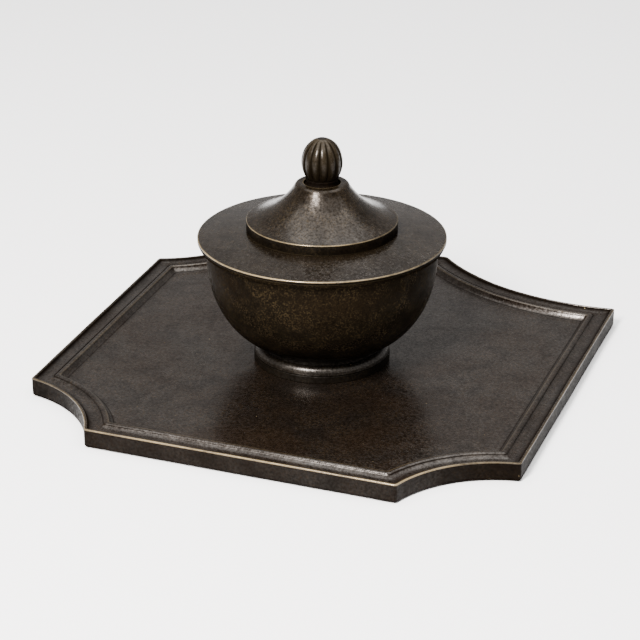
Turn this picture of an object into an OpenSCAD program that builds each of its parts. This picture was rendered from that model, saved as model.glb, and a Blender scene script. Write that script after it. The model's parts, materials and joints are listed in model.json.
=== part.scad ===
// Desk inkwell: a footed bowl with a lift-out collar, a glass liner and a coned lid, on a moulded tray.
// Millimetres, +Z up. The origin is on the standing surface, under the middle of the tray.

/* [Tray] */
// Width of the tray, left to right
tray_w = 250; // [240:1:280]
// Depth of the tray, front to back
tray_d = 258; // [250:1:290]
// Height of the tray's outer wall
tray_h = 9; // [8:0.5:12]
// Thickness of the tray's floor
floor_t = 3; // [2:0.5:4]
// Depth of the sunken floor below the rim
floor_drop = 3.2; // [2.5:0.1:3.5]
// How much wider the left side stands at the back than at the front
side_lean = 7.7; // [0:0.1:12]
// Front left corner, cut along the front and along the side
front_left_cut = [48, 39.5]; // [38:0.5:55]
// Front right corner, cut along the front and along the side
front_right_cut = [45, 38]; // [38:0.5:55]
// Back right corner, cut along the back and along the side
back_right_cut = [102, 38]; // [38:0.5:104]
// Back left corner, cut along the back and along the side
back_left_cut = [40, 57.5]; // [38:0.5:60]
// Radius of the hollow front left corner
front_left_r = 64; // [50:1:100]
// Radius of the hollow front right corner
front_right_r = 56; // [50:1:100]
// Radius of the hollow back right corner
back_right_r = 112; // [90:1:150]
// Radius of the hollow back left corner
back_left_r = 61; // [50:1:100]
// Width of the moulding around the floor
moulding_w = 14; // [13:0.5:18]
// Place of the inkwell's axis on the tray
well_at = [1, -9]; // [-12:1:12]
// Diameter of each felt foot under the tray
felt_d = 18; // [12:1:24]

/* [Foot and bowl] */
// Radius of the foot's plinth
foot_r = 33.4; // [31:0.1:35]
// Height of the foot
foot_h = 13.1; // [11:0.1:16]
// Radius of the bowl's upright wall outside, under its lip
bowl_r = 55.8; // [55:0.1:58]
// Height of the bowl from the foot to the underside of the collar
bowl_h = 48.9; // [46:0.1:54]
// Thickness of the bowl's wall
bowl_wall = 3; // [2.5:0.1:3.2]
// Thickness of the bowl's flat base
bowl_base_t = 4; // [3:0.5:5]
// Height of the lip that turns out at the top of the bowl
lip_t = 1.6; // [1.2:0.1:2.5]

/* [Collar] */
// Outer radius of the collar
collar_r = 60; // [59:0.5:64]
// Thickness of the collar at its edge
collar_edge_t = 1.7; // [1.4:0.1:2.5]
// Height of the lid's seat above the collar's underside
seat_h = 4.8; // [4.4:0.1:6]
// Radius of the mouth that the liner hangs in
mouth_r = 27.2; // [26:0.1:28]

/* [Glass liner] */
// Outer radius of the liner's cup
liner_r = 26.6; // [24:0.1:26.6]
// Thickness of the glass
glass_t = 2.8; // [2:0.1:3.5]
// Height of the liner
liner_h = 38.5; // [30:0.5:38.5]

/* [Lid] */
// Radius of the lid's upright edge
lid_r = 36.4; // [35.5:0.1:37]
// Height of the lid's upright edge
lid_edge_h = 5.2; // [4:0.1:6]
// Height of the lid without its finial
lid_h = 23.7; // [21:0.1:27]
// Radius of the lid's flat top
lid_top_r = 12.4; // [11.5:0.1:14]
// How far the lid's flank bends in below a straight cone
lid_bend = 2.95; // [1.5:0.05:3.5]
// Thickness of the lid's wall
lid_wall = 2.5; // [2:0.1:3]

/* [Finial] */
// Radius of the bud
bud_r = 9.9; // [8.5:0.1:10.5]
// Half the height of the whole bud
bud_half_h = 11.85; // [10:0.05:13]
// Number of lobes around the bud
lobes = 14; // [10:1:18]
// Depth of the furrow between two lobes
furrow = 0.7; // [0.3:0.1:1]
// Radius of the neck under the bud
neck_r = 7.9; // [7:0.1:8.2]

/* [Fixings] */
// Diameter of the screw that holds the bowl and foot on the tray
base_screw_d = 6; // [5:1:8]
// Diameter of the stud that holds the finial on the lid
finial_stud_d = 5; // [4:1:5]

/* [Hidden] */
round_fn = 96;
bronze = "#4a4038";
dark_bronze = "#2e2822";
steel = "#8d8d8d";

// Clearances
slip = 0.3;
screw_slack = 0.2;

// Heights, from the standing surface up
feet_proud = 0.5;
tray_top = feet_proud + tray_h;
floor_top = tray_top - floor_drop;
floor_under = floor_top - floor_t;
bowl_z = floor_top + foot_h;
bowl_floor = bowl_z + bowl_base_t;
collar_z = bowl_z + bowl_h;
seat_z = collar_z + seat_h;

// Bowl profile: part of an ellipse that stands off the axis, so that the wall ends upright under the lip
lip_z = collar_z - lip_t;
lip_r = collar_r - 0.7;
belly_z = lip_z - 6.9;
belly_c = 23.1;
belly_drop = 43.9;
belly_steps = 18;
belly_low_z = bowl_z + 3;
lip_fillet = 1.5;

// Underside of the bowl: it turns in below the belly and runs nearly level to the foot
under_bend = [37.2, bowl_z + 0.53];
under_in = [31, bowl_z];
under_steps = 4;

// Foot profile: a plinth, a sunken line, a round that turns in to an upright neck, and a bead
plinth_top = floor_top + foot_h * 0.27;
quirk_r = foot_r - 0.8;
round_z = plinth_top + 0.3;
round_r = foot_r - 0.2;
round_upright = 1.1;
round_bend = 3.1;
round_steps = 8;
foot_neck_r = round_r - round_bend;
foot_bead = [0.9, 0.45];
foot_bead_z = bowl_z - 0.9;
foot_bore_r = 27;
foot_key_h = 2;

// Collar, liner and lid seats
hub_drop = 3;
hub_r = 36;
rebate_r = 31.4;
rebate_z = collar_z - 0.8;
seat_r = lid_r + 1.2;
edge_break = 0.3;
ring_t = 0.8;
flange_t = 2.2;
flange_z = rebate_z + ring_t;
flange_top = flange_z + flange_t;
liner_floor_z = flange_top - liner_h;
glass_base_t = 4;
glass_corner = 6;
spigot_t = 2.2;
spigot_h = 6;
collar_spigot_r = bowl_r - bowl_wall - slip - 0.1;

// Lid
land_z = seat_z + 3;
land_r = 27.5;
lid_spigot_r = rebate_r - 0.5;
lid_spigot_t = 2.6;
lid_top = seat_z + lid_h;
lid_recess = 1.2;
lid_recess_r = 8.9;
lid_web_t = 3;
web_under = lid_top - lid_recess - lid_web_t;
flank_steps = 14;

// Finial
neck_z = lid_top - lid_recess;
neck_h = 3.3;
bud_base = neck_z + neck_h;
bud_c = bud_base + 8.05;
bud_rings = 14;
lobe_steps = 6;
button_r = 2.4;

// Fixings
washer_t = 1.2;
finial_washer_t = 0.8;
base_head_r = 7;
base_head_h = 2.2;
slot_w = 1.4;
slot_depth = 1;
base_nut_h = 5;
finial_nut_h = 4;
finial_grip = 9;
hex_share = 0.92;
thread_end = 1.4;

// Tray moulding
edge_r = 0.5;
rim_flat = 1.3;
step_w = 0.5;
cove_w = 6.9;
cove_deep = 1.3;
ridge_step = 0.3;
ridge_w = 2.6;
ridge_below = 0.2;
skirt_w = 8;
corner_steps = 12;
feet_inset = 24;
left = -tray_w / 2;
front = -tray_d / 2;

// Corners in counter-clockwise order, each with its start, its end and its radius
corners = [
    [[-left - front_right_cut.x, front], [-left, front + front_right_cut.y], front_right_r],
    [[-left, -front - back_right_cut.y], [-left - back_right_cut.x, -front], back_right_r],
    [[left + back_left_cut.x, -front], [left, -front - back_left_cut.y], back_left_r],
    [[left + side_lean, front + front_left_cut.y],
     [left + side_lean + front_left_cut.x, front], front_left_r]
];

function unit(v) = v / norm(v);
function turn_left(v) = [-v.y, v.x];
function inward(p, q, d) = p + d * turn_left(unit(q - p));
function angle_of(v) = atan2(v.y, v.x);

// Centre of a hollow corner: it lies outside the tray
function arc_centre(a, b, r) =
    (a + b) / 2 - turn_left(unit(b - a)) * sqrt(r * r - pow(norm(b - a) / 2, 2));

// Where the line from p along u meets the circle about c, on the side nearest to a point
function meet(p, u, c, r, near) =
    let (along = (c - p) * u,
         half = sqrt(r * r - pow(norm(c - p - along * u), 2)),
         first = p + (along - half) * u,
         second = p + (along + half) * u)
    norm(first - near) < norm(second - near) ? first : second;

// One hollow corner of the outline that runs d inside the tray's edge
function corner_points(i, d) =
    let (before = corners[(i + 3) % 4],
         this = corners[i],
         after = corners[(i + 1) % 4],
         c = arc_centre(this[0], this[1], this[2]),
         r = this[2] + d,
         start = meet(inward(before[1], this[0], d), unit(this[0] - before[1]), c, r, this[0]),
         end = meet(inward(this[1], after[0], d), unit(after[0] - this[1]), c, r, this[1]),
         sweep = acos(unit(start - c) * unit(end - c)))
    [for (k = [0 : corner_steps])
        c + r * [cos(angle_of(start - c) - sweep * k / corner_steps),
                 sin(angle_of(start - c) - sweep * k / corner_steps)]];

function outline(d) = [for (i = [0 : 3]) each corner_points(i, d)];
function ring(d, z) = [for (p = outline(d)) [p.x, p.y, z]];

// Section of the tray from under its skirt, over the rim and ridge, down to the floor: [inset, height]
ridge_in = rim_flat + step_w + cove_w;
ridge_top = tray_top - ridge_below;
ridge_half = ridge_w / 2;
tray_section = concat(
    [[skirt_w + floor_under - feet_proud, floor_under], [skirt_w, feet_proud], [0, feet_proud]],
    [for (a = [0 : 30 : 90]) [edge_r * (1 - cos(a)), tray_top - edge_r * (1 - sin(a))]],
    [[rim_flat, tray_top]],
    [for (a = [0 : 30 : 180])
        [rim_flat + step_w + cove_w * (1 - cos(a)) / 2, tray_top - step_w - cove_deep * sin(a)]],
    [for (a = [20 : 35 : 160])
        [ridge_in + ridge_step + ridge_half * (1 - cos(a)), ridge_top - ridge_half * 0.5 * (1 - sin(a))]],
    [for (a = [0 : 30 : 90])
        let (w = moulding_w - ridge_in - ridge_step - ridge_w,
             h = ridge_top - ridge_half * 0.5 - floor_top)
        [moulding_w - w * (1 - sin(a)), floor_top + h * (1 - sin(a)) * (1 - sin(a))]]
);

function loft_faces(rings, n) = concat(
    [[for (k = [0 : n - 1]) k]],
    [for (j = [0 : rings - 2], k = [0 : n - 1])
        let (a = j * n + k, b = j * n + (k + 1) % n)
        each [[a, a + n, b], [b, a + n, b + n]]],
    [[for (k = [0 : n - 1]) rings * n - 1 - k]]
);

// A solid through rings of points that all have the same count, closed flat at both ends
module loft(rings) {
    polyhedron(points = [for (r = rings) each r],
               faces = loft_faces(len(rings), len(rings[0])), convexity = 6);
}

module at_well() {
    translate([well_at.x, well_at.y, 0]) children();
}

module turned(points) {
    rotate_extrude($fn = round_fn) polygon(points);
}

module tube(r, bore, z, h) {
    translate([0, 0, z]) difference() {
        cylinder(r = r, h = h, $fn = round_fn);
        translate([0, 0, -1]) cylinder(r = bore, h = h + 2, $fn = round_fn);
    }
}

module tray() {
    color(bronze) difference() {
        loft([for (s = tray_section) ring(s[0], s[1])]);
        at_well() cylinder(r = base_screw_d / 2 + screw_slack, h = tray_top, $fn = round_fn);
    }
}

module felt_feet() {
    inner = outline(feet_inset);
    color("darkolivegreen") for (i = [0 : 3]) {
        p = inner[i * (corner_steps + 1) + corner_steps / 2];
        translate([p.x, p.y, 0]) cylinder(d = felt_d, h = floor_under, $fn = round_fn);
    }
}

module foot_ring() {
    bend_z = round_z + round_upright;
    color(bronze) at_well() turned(concat(
        [[foot_bore_r, floor_top], [foot_r, floor_top], [foot_r, plinth_top - edge_break],
         [foot_r - edge_break, plinth_top], [quirk_r, plinth_top], [quirk_r, round_z],
         [round_r, round_z]],
        [for (k = [0 : round_steps])
            let (a = 90 * k / round_steps)
            [foot_neck_r + round_bend * cos(a), bend_z + round_bend * sin(a)]],
        [for (a = [-90 : 30 : 90])
            [foot_neck_r + foot_bead.x * cos(a), foot_bead_z + foot_bead.y * sin(a)]],
        [[foot_neck_r, bowl_z], [foot_bore_r, bowl_z]]
    ));
}

// Radius and height of the bowl's ellipse, inset from its outer face
function belly(a, inset) =
    [belly_c + (bowl_r - belly_c - inset) * cos(a), belly_z - (belly_drop - inset) * sin(a)];
function belly_angle(z, inset) = asin((belly_z - z) / (belly_drop - inset));

// Point at share t of the underside, from the foot out to the belly
function under(t) =
    let (under_out = belly(belly_angle(belly_low_z, 0), 0))
    (1 - t) * (1 - t) * under_in + 2 * t * (1 - t) * under_bend + t * t * under_out;

module bowl() {
    outer_end = belly_angle(belly_low_z, 0);
    inner_end = belly_angle(bowl_floor, bowl_wall);
    bore = base_screw_d / 2 + screw_slack;
    key_r = foot_bore_r - 0.05;
    color(bronze) at_well() turned(concat(
        [[bore, bowl_z - foot_key_h], [key_r, bowl_z - foot_key_h], [key_r, bowl_z]],
        [for (k = [0 : under_steps - 1]) under(k / under_steps)],
        [for (k = [belly_steps : -1 : 0]) belly(outer_end * k / belly_steps, 0)],
        [for (a = [0 : 30 : 90])
            [bowl_r + lip_fillet * (1 - cos(a)), lip_z - lip_fillet * (1 - sin(a))]],
        [[lip_r - edge_break, lip_z], [lip_r, lip_z + edge_break],
         [lip_r, collar_z - edge_break], [lip_r - edge_break, collar_z], [bowl_r - bowl_wall, collar_z]],
        [for (k = [0 : belly_steps]) belly(inner_end * k / belly_steps, bowl_wall)],
        [[bore, bowl_floor]]
    ));
}

module base_screw() {
    tip = bowl_floor + washer_t + base_nut_h + thread_end;
    head_z = floor_under - base_head_h;
    color(steel) at_well() difference() {
        union() {
            translate([0, 0, head_z]) cylinder(r = base_head_r, h = base_head_h, $fn = round_fn);
            translate([0, 0, head_z]) cylinder(d = base_screw_d, h = tip - head_z, $fn = round_fn);
        }
        translate([-base_head_r - 1, -slot_w / 2, head_z - 1])
            cube([2 * base_head_r + 2, slot_w, slot_depth + 1]);
    }
}

module base_washer() {
    color(steel) at_well() tube(base_screw_d * 1.5, base_screw_d / 2 + screw_slack, bowl_floor, washer_t);
}

module hex_nut(d, z, h) {
    difference() {
        translate([0, 0, z]) cylinder(r = d * hex_share, h = h, $fn = 6);
        translate([0, 0, z - 1]) cylinder(d = d, h = h + 2, $fn = round_fn);
    }
}

module base_nut() {
    color(steel) at_well() hex_nut(base_screw_d, bowl_floor + washer_t, base_nut_h);
}

module collar() {
    edge_top = collar_z + collar_edge_t;
    color(bronze) at_well() turned([
        [mouth_r, collar_z - hub_drop], [hub_r, collar_z - hub_drop], [hub_r, collar_z],
        [collar_r - edge_break, collar_z], [collar_r, collar_z + edge_break],
        [collar_r, edge_top - edge_break], [collar_r - edge_break, edge_top], [seat_r, seat_z],
        [rebate_r, seat_z], [rebate_r, rebate_z], [mouth_r, rebate_z]
    ]);
}

module collar_spigot() {
    color(dark_bronze) at_well()
        tube(collar_spigot_r, collar_spigot_r - spigot_t, collar_z - spigot_h, spigot_h);
}

module liner_seat_ring() {
    color("burlywood") at_well() tube(rebate_r - slip, mouth_r + slip, rebate_z, ring_t);
}

module glass_liner() {
    inner_r = liner_r - glass_t;
    inner_z = liner_floor_z + glass_base_t;
    inner_corner = glass_corner - 2;
    color("lightblue", 0.4) at_well() turned(concat(
        [[0, liner_floor_z]],
        [for (a = [-90 : 18 : 0])
            [liner_r - glass_corner * (1 - cos(a)), liner_floor_z + glass_corner * (1 + sin(a))]],
        [[liner_r, flange_z], [rebate_r - slip - 0.1, flange_z], [rebate_r - slip - 0.1, flange_top],
         [inner_r, flange_top]],
        [for (a = [0 : -18 : -90])
            [inner_r - inner_corner * (1 - cos(a)), inner_z + inner_corner * (1 + sin(a))]],
        [[0, inner_z]]
    ));
}

// Point at share t of an arc from p to q that bends by sag to the left of the line between them
function bent(p, q, sag, t) =
    let (half = norm(q - p) / 2,
         r = (half * half + sag * sag) / (2 * sag),
         c = (p + q) / 2 - turn_left(unit(q - p)) * (r - sag),
         from = angle_of(p - c),
         sweep = 2 * asin(half / r))
    c + r * [cos(from - sweep * t), sin(from - sweep * t)];

module lid() {
    foot = [lid_r, seat_z + lid_edge_h];
    head = [lid_top_r, lid_top - edge_break];
    inner_foot = [land_r, seat_z + lid_edge_h];
    inner_head = [lid_top_r - lid_wall, web_under];
    bore = finial_stud_d / 2 + screw_slack;
    color(bronze) at_well() turned(concat(
        [[lid_r - lid_wall, seat_z], [lid_r - edge_break, seat_z], [lid_r, seat_z + edge_break],
         [lid_r, foot.y - edge_break], [lid_r - edge_break, foot.y]],
        [for (k = [1 : flank_steps]) bent(foot, head, lid_bend, k / flank_steps)],
        [[lid_top_r - edge_break, lid_top], [lid_recess_r, lid_top], [lid_recess_r, neck_z],
         [bore, neck_z], [bore, web_under]],
        [for (k = [flank_steps : -1 : 0]) bent(inner_foot, inner_head, lid_bend * 0.6, k / flank_steps)],
        [[land_r, land_z], [lid_r - lid_wall, land_z]]
    ));
}

module lid_spigot() {
    low = flange_top + 0.5;
    color(dark_bronze) at_well() tube(lid_spigot_r, lid_spigot_r - lid_spigot_t, low, land_z - low);
}

// One ring of the bud, with a lobe between each two furrows
function bud_ring(z, r) =
    let (n = lobes * lobe_steps, depth = furrow * r / bud_r)
    [for (k = [0 : n - 1])
        let (a = 360 * k / n, dip = 1 - abs(sin(lobes * a / 2)))
        [(r - depth * dip) * cos(a), (r - depth * dip) * sin(a), z]];

module finial() {
    from = asin((bud_base - bud_c) / bud_half_h);
    to = acos(button_r / bud_r);
    color(bronze) at_well() difference() {
        loft([for (k = [0 : bud_rings])
            let (a = from + (to - from) * k / bud_rings)
            bud_ring(bud_c + bud_half_h * sin(a), bud_r * cos(a))]);
        translate([0, 0, bud_base - 1])
            cylinder(d = finial_stud_d, h = finial_grip + 1, $fn = round_fn);
    }
}

module finial_neck() {
    color(dark_bronze) at_well() tube(neck_r, finial_stud_d / 2 + screw_slack, neck_z, neck_h);
}

module finial_stud() {
    low = web_under - finial_washer_t - finial_nut_h - thread_end;
    color(steel) at_well() translate([0, 0, low])
        cylinder(d = finial_stud_d, h = bud_base + finial_grip - low, $fn = round_fn);
}

module finial_washer() {
    low = web_under - finial_washer_t;
    color(steel) at_well()
        tube(finial_stud_d * 1.4, finial_stud_d / 2 + screw_slack, low, finial_washer_t);
}

module finial_nut() {
    color(steel) at_well()
        hex_nut(finial_stud_d, web_under - finial_washer_t - finial_nut_h, finial_nut_h);
}

tray();
felt_feet();
foot_ring();
bowl();
base_screw();
base_washer();
base_nut();
collar();
collar_spigot();
liner_seat_ring();
glass_liner();
lid();
lid_spigot();
finial();
finial_neck();
finial_stud();
finial_washer();
finial_nut();
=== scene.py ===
import json
import math

import bmesh
import bpy
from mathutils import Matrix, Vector, noise


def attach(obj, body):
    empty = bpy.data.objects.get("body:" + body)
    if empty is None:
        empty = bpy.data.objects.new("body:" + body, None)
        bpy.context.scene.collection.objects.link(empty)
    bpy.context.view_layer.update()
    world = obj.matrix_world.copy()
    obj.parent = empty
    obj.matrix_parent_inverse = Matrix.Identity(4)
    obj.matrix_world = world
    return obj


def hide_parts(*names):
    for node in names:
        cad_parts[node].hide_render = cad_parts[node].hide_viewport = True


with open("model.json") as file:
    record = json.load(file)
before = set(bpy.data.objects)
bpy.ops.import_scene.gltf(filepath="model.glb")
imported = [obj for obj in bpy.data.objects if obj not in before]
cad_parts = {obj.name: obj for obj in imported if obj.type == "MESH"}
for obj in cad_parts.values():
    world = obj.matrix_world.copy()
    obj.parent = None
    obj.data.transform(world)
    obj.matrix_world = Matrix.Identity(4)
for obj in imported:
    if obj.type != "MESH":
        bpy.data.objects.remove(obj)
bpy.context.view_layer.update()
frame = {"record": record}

# A patinated bronze inkwell on a moulded tray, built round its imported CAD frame.
# Sections and outlines are in millimetres and become metres when a mesh is made.
MM = 0.001
RECORD = frame["record"]
BODY_OF = {node: body for body, nodes in RECORD["behaviour"]["bodies"].items() for node in nodes}


# ---------------------------------------------------------------- camera, floor and light

CAMERA_AT = Vector((0.3114, -0.8341, 0.4138))
CAMERA_AZIMUTH = math.radians(20.68)
CAMERA_PITCH = math.radians(23.8)
CAMERA_LENS = 110.54
SENSOR = 36.0
CLIP = 0.05, 20.0
LIGHTS_AIM = Vector((0, 0, 0.05))
FLOOR_HALF = 6.0
PAPER = 0.93


def toward(azimuth, elevation):
    """Unit vector from the object toward a place at that bearing and height, both in radians."""
    flat = math.cos(elevation)
    return Vector((math.sin(azimuth) * flat, -math.cos(azimuth) * flat, math.sin(elevation)))


def add_camera():
    data = bpy.data.cameras.new("camera")
    data.lens = CAMERA_LENS
    data.sensor_width = SENSOR
    data.clip_start, data.clip_end = CLIP
    camera = bpy.data.objects.new("camera", data)
    bpy.context.scene.collection.objects.link(camera)
    camera.location = CAMERA_AT
    back = toward(CAMERA_AZIMUTH, CAMERA_PITCH)
    camera.rotation_mode = "QUATERNION"
    camera.rotation_quaternion = (-back).to_track_quat("-Z", "Y")
    bpy.context.scene.camera = camera


def add_softbox(name, azimuth, elevation, distance, size, power, colour):
    """A rectangular area light that looks at the inkwell from a bearing and height in degrees."""
    data = bpy.data.lights.new(name, "AREA")
    data.shape = "RECTANGLE"
    data.size, data.size_y = size
    data.energy = power
    data.color = colour
    light = bpy.data.objects.new(name, data)
    bpy.context.scene.collection.objects.link(light)
    away = toward(math.radians(azimuth), math.radians(elevation))
    light.location = LIGHTS_AIM + away * distance
    light.rotation_mode = "QUATERNION"
    light.rotation_quaternion = (-away).to_track_quat("-Z", "Y")


def add_world(colour, strength):
    world = bpy.data.worlds.new("studio")
    world.use_nodes = True
    background = world.node_tree.nodes["Background"]
    background.inputs["Color"].default_value = (*colour, 1)
    background.inputs["Strength"].default_value = strength
    bpy.context.scene.world = world


def add_floor():
    far = FLOOR_HALF
    mesh = bpy.data.meshes.new("floor")
    corners = [(-far, -far, 0), (far, -far, 0), (far, far, 0), (-far, far, 0)]
    mesh.from_pydata(corners, [], [(0, 1, 2, 3)])
    floor = bpy.data.objects.new("floor", mesh)
    bpy.context.scene.collection.objects.link(floor)
    material = bpy.data.materials.new("floor_paper")
    material.use_nodes = True
    shader = material.node_tree.nodes["Principled BSDF"]
    shader.inputs["Base Color"].default_value = (PAPER, PAPER, PAPER, 1)
    shader.inputs["Roughness"].default_value = 0.9
    shader.inputs["Specular IOR Level"].default_value = 0.1
    mesh.materials.append(material)


# ---------------------------------------------------------------- materials

# Socket numbers of a Mix node set to colours, which has other sockets of the same names
MIX_FACTOR, MIX_A, MIX_B, MIX_RESULT = 0, 6, 7, 2


class Nodes:
    """A material's node tree, with short calls for the nodes used here."""

    def __init__(self, name):
        self.material = bpy.data.materials.new(name)
        self.material.use_nodes = True
        self.tree = self.material.node_tree
        self.shader = self.tree.nodes["Principled BSDF"]
        self.place = self.tree.nodes.new("ShaderNodeTexCoord").outputs["Object"]

    def link(self, source, target):
        self.tree.links.new(source, target)

    def feed(self, socket, value):
        """Gives a socket a number or a colour of three numbers, or links an output to it."""
        if isinstance(value, tuple):
            socket.default_value = (*value, 1)
        elif isinstance(value, (int, float)):
            socket.default_value = value
        else:
            self.link(value, socket)

    def set(self, **values):
        """Sets the shader's own sockets, whose names are given with _ for a space."""
        for name, value in values.items():
            self.shader.inputs[name.replace("_", " ")].default_value = value

    def shifted(self, shift, stretch=(1, 1, 1)):
        node = self.tree.nodes.new("ShaderNodeMapping")
        node.inputs["Location"].default_value = (shift, shift * 0.37, -shift * 0.61)
        node.inputs["Scale"].default_value = stretch
        self.link(self.place, node.inputs["Vector"])
        return node.outputs["Vector"]

    def noise(self, scale, shift=0.0, detail=4.0, rough=0.6, warp=0.0, stretch=(1, 1, 1)):
        node = self.tree.nodes.new("ShaderNodeTexNoise")
        node.inputs["Scale"].default_value = scale
        node.inputs["Detail"].default_value = detail
        node.inputs["Roughness"].default_value = rough
        node.inputs["Distortion"].default_value = warp
        self.link(self.shifted(shift, stretch), node.inputs["Vector"])
        return node.outputs["Fac"]

    def cells(self, scale, shift=0.0, output="Distance"):
        node = self.tree.nodes.new("ShaderNodeTexVoronoi")
        node.inputs["Scale"].default_value = scale
        self.link(self.shifted(shift), node.inputs["Vector"])
        return node.outputs[output]

    def attribute(self, name):
        node = self.tree.nodes.new("ShaderNodeAttribute")
        node.attribute_name = name
        return node.outputs["Fac"]

    def range(self, value, low, high, to_low=0.0, to_high=1.0):
        node = self.tree.nodes.new("ShaderNodeMapRange")
        node.interpolation_type = "SMOOTHSTEP"
        self.link(value, node.inputs["Value"])
        limits = {"From Min": low, "From Max": high, "To Min": to_low, "To Max": to_high}
        for name, number in limits.items():
            node.inputs[name].default_value = number
        return node.outputs["Result"]

    def math(self, operation, a, b):
        node = self.tree.nodes.new("ShaderNodeMath")
        node.operation = operation
        node.use_clamp = operation in ("ADD", "SUBTRACT")
        for socket, value in zip(node.inputs, (a, b)):
            self.feed(socket, value)
        return node.outputs["Value"]

    def product(self, first, *others):
        for other in others:
            first = self.math("MULTIPLY", first, other)
        return first

    def mix(self, share, a, b, blend="MIX"):
        """Mixes two colours; each is a colour output or three numbers."""
        node = self.tree.nodes.new("ShaderNodeMix")
        node.data_type = "RGBA"
        node.blend_type = blend
        for number, value in ((MIX_FACTOR, share), (MIX_A, a), (MIX_B, b)):
            self.feed(node.inputs[number], value)
        return node.outputs[MIX_RESULT]

    def bump(self, height, distance, strength=1.0, under=None):
        node = self.tree.nodes.new("ShaderNodeBump")
        node.inputs["Distance"].default_value = distance
        node.inputs["Strength"].default_value = strength
        self.link(height, node.inputs["Height"])
        if under is not None:
            self.link(under, node.inputs["Normal"])
        return node.outputs["Normal"]


# Pale bronze for worn edges and specks, which also paints the highlights along edges
BARE_METAL_AND_HIGHLIGHT = (0.62, 0.47, 0.25)
EDGE_TINT = (1.0, 0.92, 0.84)
CLOUD, PATCH, MOTTLE, GRAIN = 17, 75, 640, 1150


def scaled(colour, share):
    return tuple(channel * share for channel in colour)


def patina(name, shift, tones, rough, glint, fleck, pits, spec, relief=1.0, metal=0.0, tint=EDGE_TINT):
    """Waxed dark bronze: cloudy browns under a fine stipple of gold, worn pale on edges that are also given a
    painted highlight, and darker where soiled and in painted shade.
    tones holds the colours deep, brown, grey and gold. The rest say how rough it is, how metallic and how
    strong the stipple is, how many pits there are, how strongly it mirrors and how deep its relief is."""
    n = Nodes(name)
    deep = tones["deep"]
    clouds = n.noise(CLOUD, shift, detail=4, rough=0.55, warp=0.5)
    patches = n.noise(PATCH, shift + 3, detail=6, rough=0.68, warp=0.4)
    mottle = n.noise(MOTTLE, shift + 7, detail=4, rough=0.7)
    grain = n.noise(GRAIN, shift + 11, detail=3, rough=0.65)
    colour = n.mix(n.range(clouds, 0.38, 0.62), tones["brown"], tones["grey"])
    colour = n.mix(n.product(n.range(mottle, 0.54, 0.34), 0.6), colour, deep)
    stipple = n.product(n.range(grain, 0.47, 0.64), n.range(patches, 0.40, 0.60, 0.10, 1.0),
                        n.range(clouds, 0.40, 0.60, 0.45, 1.0))
    colour = n.mix(n.product(stipple, fleck), colour, tones["gold"])
    dark_grain = n.range(n.noise(980, shift + 13, detail=2), 0.44, 0.33, 0.0, 0.75)
    colour = n.mix(dark_grain, colour, deep)

    # Small sunken pits, dark inside, gathered where the casting was porous
    pit = n.range(n.cells(640, shift + 5), 0.20, 0.08)
    porous = n.range(n.noise(48, shift + 17, detail=3), 0.56, 0.68, 0.0, pits)
    pit = n.product(pit, porous)
    colour = n.mix(pit, colour, scaled(deep, 0.35))

    # Pale specks of bare metal
    speck = n.range(n.cells(420, shift + 23), 0.09, 0.03)
    scattered = n.range(n.noise(150, shift + 29, detail=2), 0.62, 0.70, 0.0, pits)
    speck = n.product(speck, scattered)

    # Edges: the wax and patina are worn through to the bronze in an uneven line, which is also a painted
    # highlight where the edges face the light
    broken = n.range(n.noise(90, shift + 31, detail=5, rough=0.7), 0.30, 0.62, 0.35, 1.0)
    wear_and_highlight = n.product(n.attribute("wear_and_highlight"), broken)
    bare_and_highlight = n.math("MAXIMUM", wear_and_highlight, n.product(speck, 0.5))
    grime_and_shade = n.attribute("grime_and_shade")
    # Painted shade, with some soiling: the colour is darkened by the attribute read here
    colour = n.mix(n.product(grime_and_shade, 0.60), colour, scaled(deep, 0.6))
    colour = n.mix(bare_and_highlight, colour, BARE_METAL_AND_HIGHLIGHT)
    n.link(colour, n.shader.inputs["Base Color"])

    glinting = n.range(stipple, 0.0, 1.0, metal, metal + glint)
    n.link(n.math("MAXIMUM", glinting, bare_and_highlight), n.shader.inputs["Metallic"])
    satin = n.math("ADD", n.range(mottle, 0.35, 0.65, rough - 0.05, rough + 0.10), n.product(grime_and_shade, 0.25))
    n.link(n.math("SUBTRACT", satin, n.product(wear_and_highlight, 0.08)), n.shader.inputs["Roughness"])

    # The wax is thin and broken, so it mirrors unevenly, and hardly at all where it is soiled or painted with
    # shade
    film = n.noise(820, shift + 41, detail=4, rough=0.72)
    shine = n.product(n.range(film, 0.34, 0.64, 0.50, 1.55), n.range(patches, 0.36, 0.64, 0.75, 1.25),
                      n.range(clouds, 0.36, 0.64, 0.80, 1.20), n.range(grime_and_shade, 0.0, 1.0, spec, spec * 0.01))
    n.link(shine, n.shader.inputs["Specular IOR Level"])

    surface = n.bump(n.noise(45, shift + 37, detail=2), 0.00014, 0.35 * relief)
    surface = n.bump(mottle, 0.00003, 0.6 * relief, surface)
    surface = n.bump(grain, 0.00003, 0.8 * relief, surface)
    surface = n.bump(n.math("SUBTRACT", 1.0, pit), 0.00008, 0.8, surface)
    n.link(surface, n.shader.inputs["Normal"])
    n.set(Specular_Tint=(*tint, 1))
    return n.material


def brass(name, shift, base, rough):
    """Plain machined metal, dulled in patches, with faint turning lines."""
    n = Nodes(name)
    dull = n.noise(140, shift, detail=5, rough=0.7)
    lines = n.noise(420, shift + 2, detail=2, stretch=(0.15, 0.15, 3))
    colour = n.mix(n.range(dull, 0.40, 0.66), base, scaled(base, 0.45))
    colour = n.mix(n.attribute("grime_and_shade"), colour, scaled(base, 0.08))
    n.link(colour, n.shader.inputs["Base Color"])
    n.link(n.range(dull, 0.35, 0.70, rough, rough + 0.22), n.shader.inputs["Roughness"])
    n.link(n.bump(dull, 0.00003, 0.6, n.bump(lines, 0.00002, 0.6)), n.shader.inputs["Normal"])
    n.set(Metallic=1.0)
    return n.material


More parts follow.
